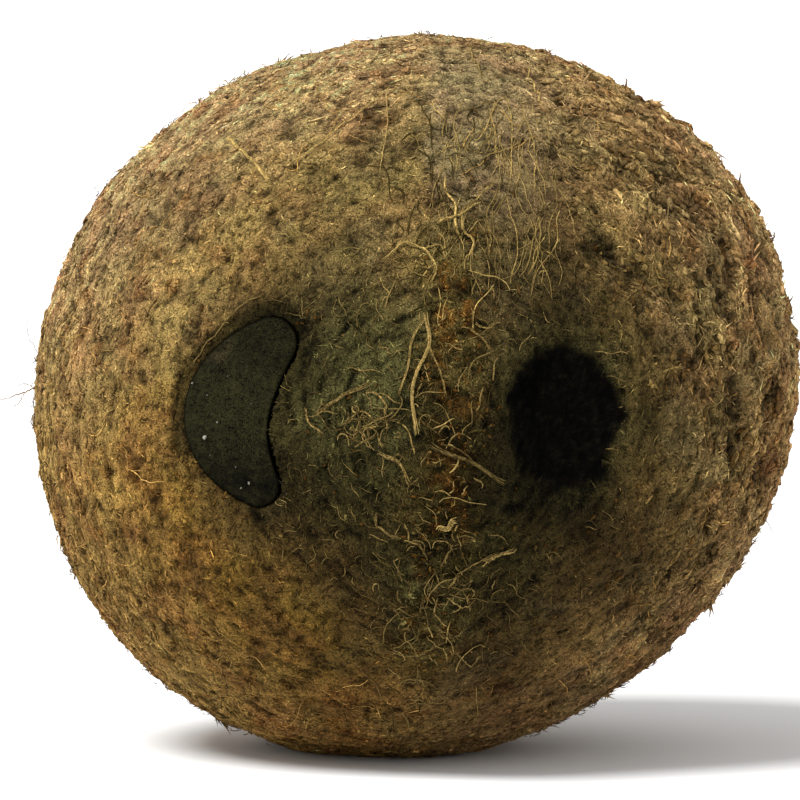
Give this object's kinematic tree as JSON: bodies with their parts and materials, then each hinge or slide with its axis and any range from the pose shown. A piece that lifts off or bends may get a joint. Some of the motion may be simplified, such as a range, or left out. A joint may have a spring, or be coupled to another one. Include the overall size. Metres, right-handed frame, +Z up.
{
  "type": "coconut",
  "caption": "Husked fuzzy brown coconut lying on its side on a small flat spot, its eye end to the front with dark sunken eyes beside a rough ridge.",
  "frame": {"origin": "on the surface that the nut lies on, under the middle of its outline seen from above", "axes": "+Z up; the eye end faces -Y and the nut is longest along Y; +X to the right when looking at the eyes"},
  "size_m": [0.115, 0.121, 0.108],
  "materials": {
    "coconut_shell": "matt fibrous shell, golden tan to dark brown, with near-black eyes"
  },
  "bodies": {
    "root": {"coconut": "coconut_shell"}
  },
  "joints": []
}
